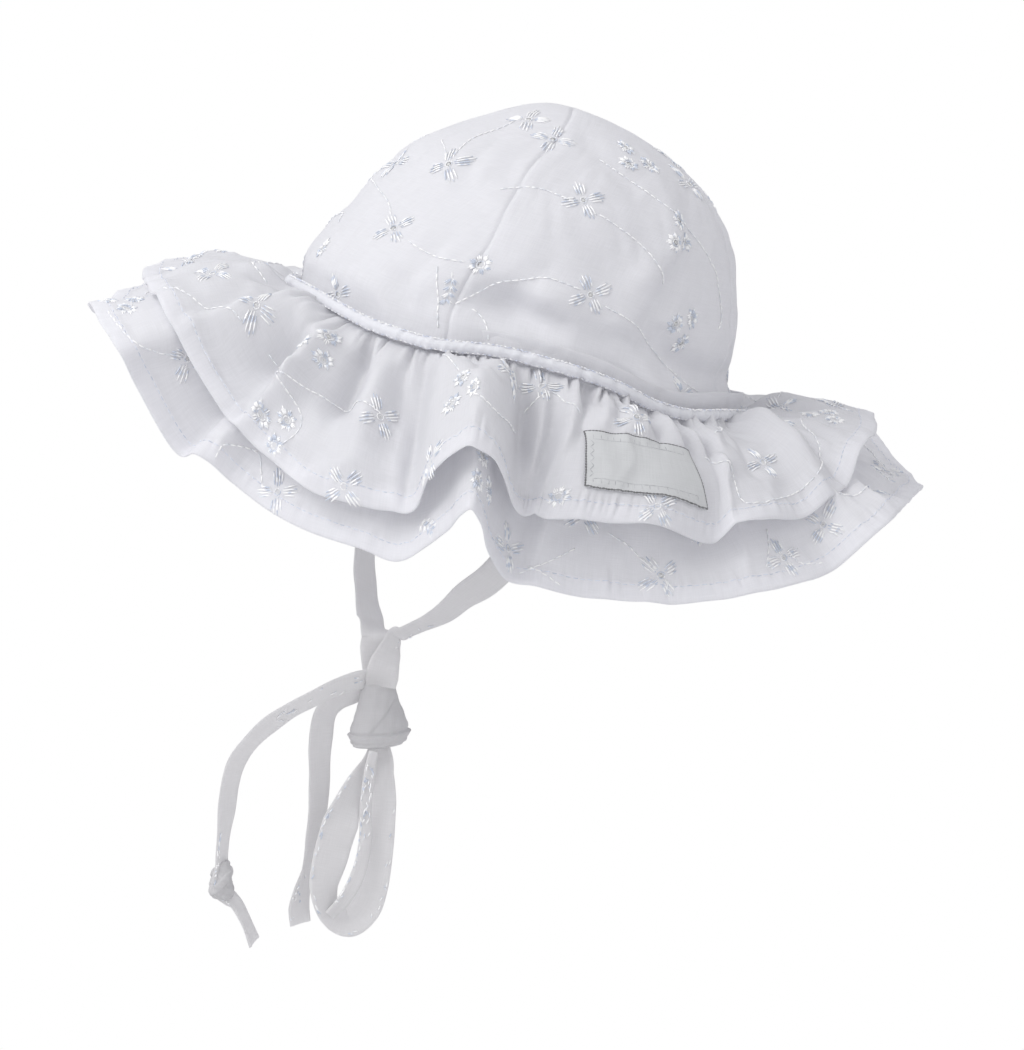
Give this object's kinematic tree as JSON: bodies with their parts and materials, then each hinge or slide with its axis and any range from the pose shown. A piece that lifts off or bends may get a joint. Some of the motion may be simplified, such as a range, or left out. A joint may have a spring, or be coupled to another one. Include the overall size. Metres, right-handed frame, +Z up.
{
  "type": "ruffled sun hat",
  "caption": "Baby's soft sun hat: domed crown in gores, corded seam, double gathered brim with a sewn label, and chin ties in a knotted loop.",
  "frame": {"origin": "middle of the crown's open foot, where the hat sits round a head", "axes": "+Z up as worn; the wearer faces -Y and the wearer's left is +X; the hat's own axis leans 19 degrees back, towards +Y"},
  "size_m": [0.2416, 0.2925, 0.2782],
  "materials": {
    "cotton": "fine sheer cotton weave with raised white embroidery, matte with a slight sheen on the thread",
    "tie_cloth": "thin plain cotton, slightly see-through, matte",
    "label_cloth": "close woven ribbon, smooth, with a stitched edge"
  },
  "bodies": {
    "root": {"crown_panel_left": "cotton", "crown_panel_back": "cotton", "crown_panel_right": "cotton", "crown_panel_front": "cotton", "piping": "cotton", "upper_ruffle": "cotton", "lower_brim": "cotton", "label": "label_cloth", "tie_left": "tie_cloth", "tie_right": "tie_cloth", "tie_knot": "tie_cloth", "tie_loop": "tie_cloth", "tail_long": "tie_cloth", "tail_short": "tie_cloth"}
  },
  "joints": []
}
